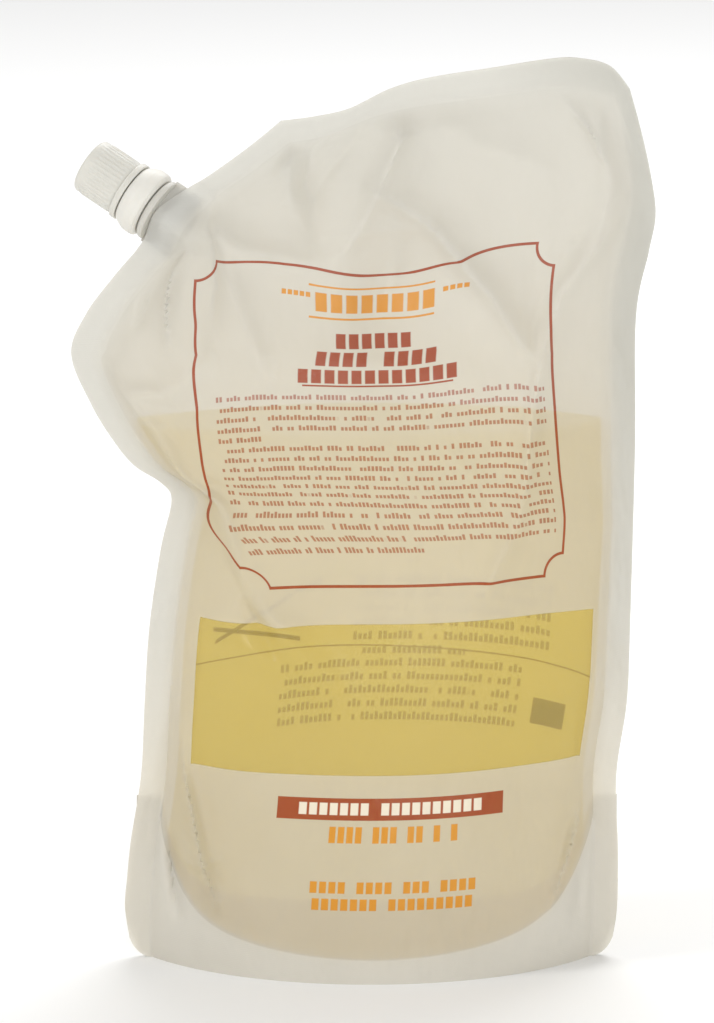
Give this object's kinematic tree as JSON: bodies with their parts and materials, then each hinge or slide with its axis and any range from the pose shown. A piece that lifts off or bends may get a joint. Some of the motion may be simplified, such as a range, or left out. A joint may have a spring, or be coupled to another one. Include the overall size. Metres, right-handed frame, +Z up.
{
  "type": "hand soap refill pack",
  "caption": "Stand-up refill pouch of frosted film with a clear window, full of soap, with a bottom gusset and a screw-capped spout welded into its cut corner.",
  "frame": {"origin": "middle of the flat area of the bottom gusset, on the surface that the pack stands on", "axes": "+Z up, -Y the printed front, +X the side away from the spout"},
  "size_m": [0.175, 0.0792, 0.2756],
  "materials": {
    "frosted_film": "frosted translucent film, milky white with a soft sheen, with a clear strip across the lower half and printed lines and bars in red-brown and orange",
    "gusset_film": "frosted translucent film, unprinted",
    "soap": "clear pale yellow liquid",
    "spout_plastic": "natural white polyethylene, satin, slightly translucent",
    "cap_plastic": "white polyethylene, satin, finely ribbed",
    "liner_foam": "white closed-cell foam, matt"
  },
  "bodies": {
    "pouch": {"front_panel": "frosted_film", "back_panel": "frosted_film", "bottom_gusset": "gusset_film", "liquid_soap": "soap", "spout": "spout_plastic", "tamper_band": "cap_plastic"},
    "liner": {"cap_liner": "liner_foam"},
    "cap": {"cap": "cap_plastic"}
  },
  "joints": [
    {"name": "cap_lift", "type": "slide", "parent": "pouch", "child": "liner", "axis": [-0.8061, 0.327, 0.4933], "range_m": [0, 0.006]},
    {"name": "cap_turn", "type": "hinge", "parent": "liner", "child": "cap", "pos_m": [-0.06285, 0.009, 0.22725], "axis": [-0.8061, 0.327, 0.4933], "range_deg": [0, 720]}
  ],
  "couplings": [
    {"joint": "cap_lift", "follows": "cap_turn", "m_per_rad": 0.00047746}
  ]
}
